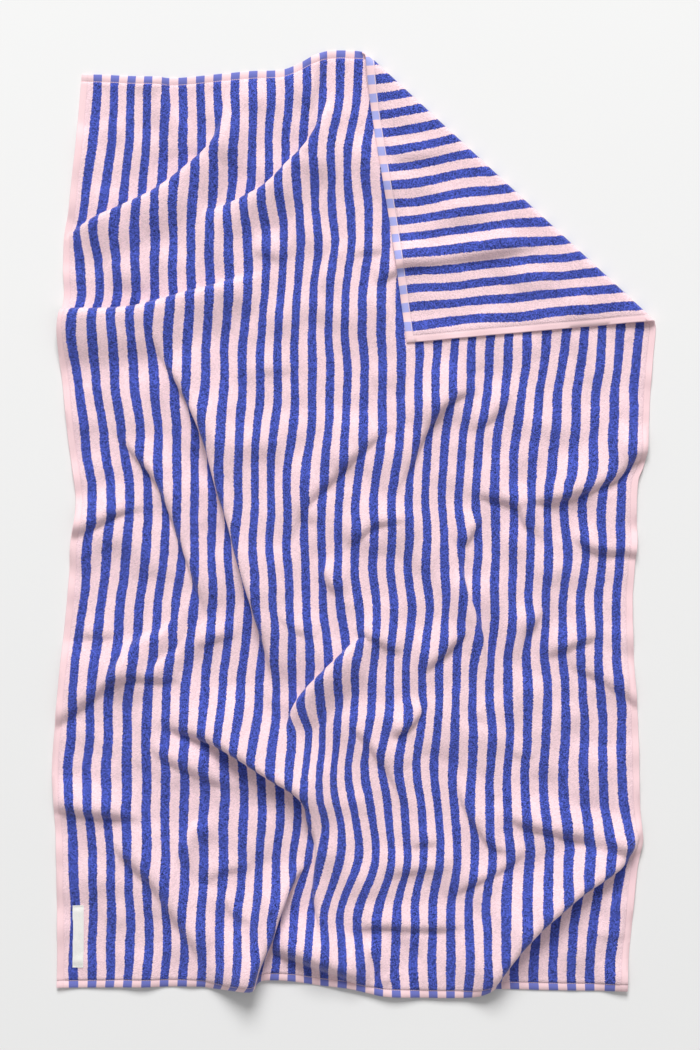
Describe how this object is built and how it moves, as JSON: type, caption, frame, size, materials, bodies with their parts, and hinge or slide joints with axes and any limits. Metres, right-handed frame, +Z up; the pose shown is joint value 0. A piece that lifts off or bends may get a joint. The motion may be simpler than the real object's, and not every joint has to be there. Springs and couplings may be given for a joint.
{
  "type": "bath towel, laid out with one corner turned over",
  "caption": "Large striped terry bath towel laid out flat in soft folds, hemmed all round, with its upper right corner turned over on itself and a small blank sewn label.",
  "frame": {"origin": "on the floor under the middle of the laid out towel's bounding box", "axes": "+X across the towel to the right as seen from above, +Y along its stripes towards the end with the turned corner, +Z up"},
  "size_m": [0.9368, 1.474, 0.0513],
  "materials": {
    "terry": "matt looped pile in even stripes of pale pink and blue, flat woven hems at both ends",
    "label_cloth": "matt off-white woven tape, blank"
  },
  "bodies": {
    "root": {"towel": "terry", "label": "label_cloth"}
  },
  "joints": []
}
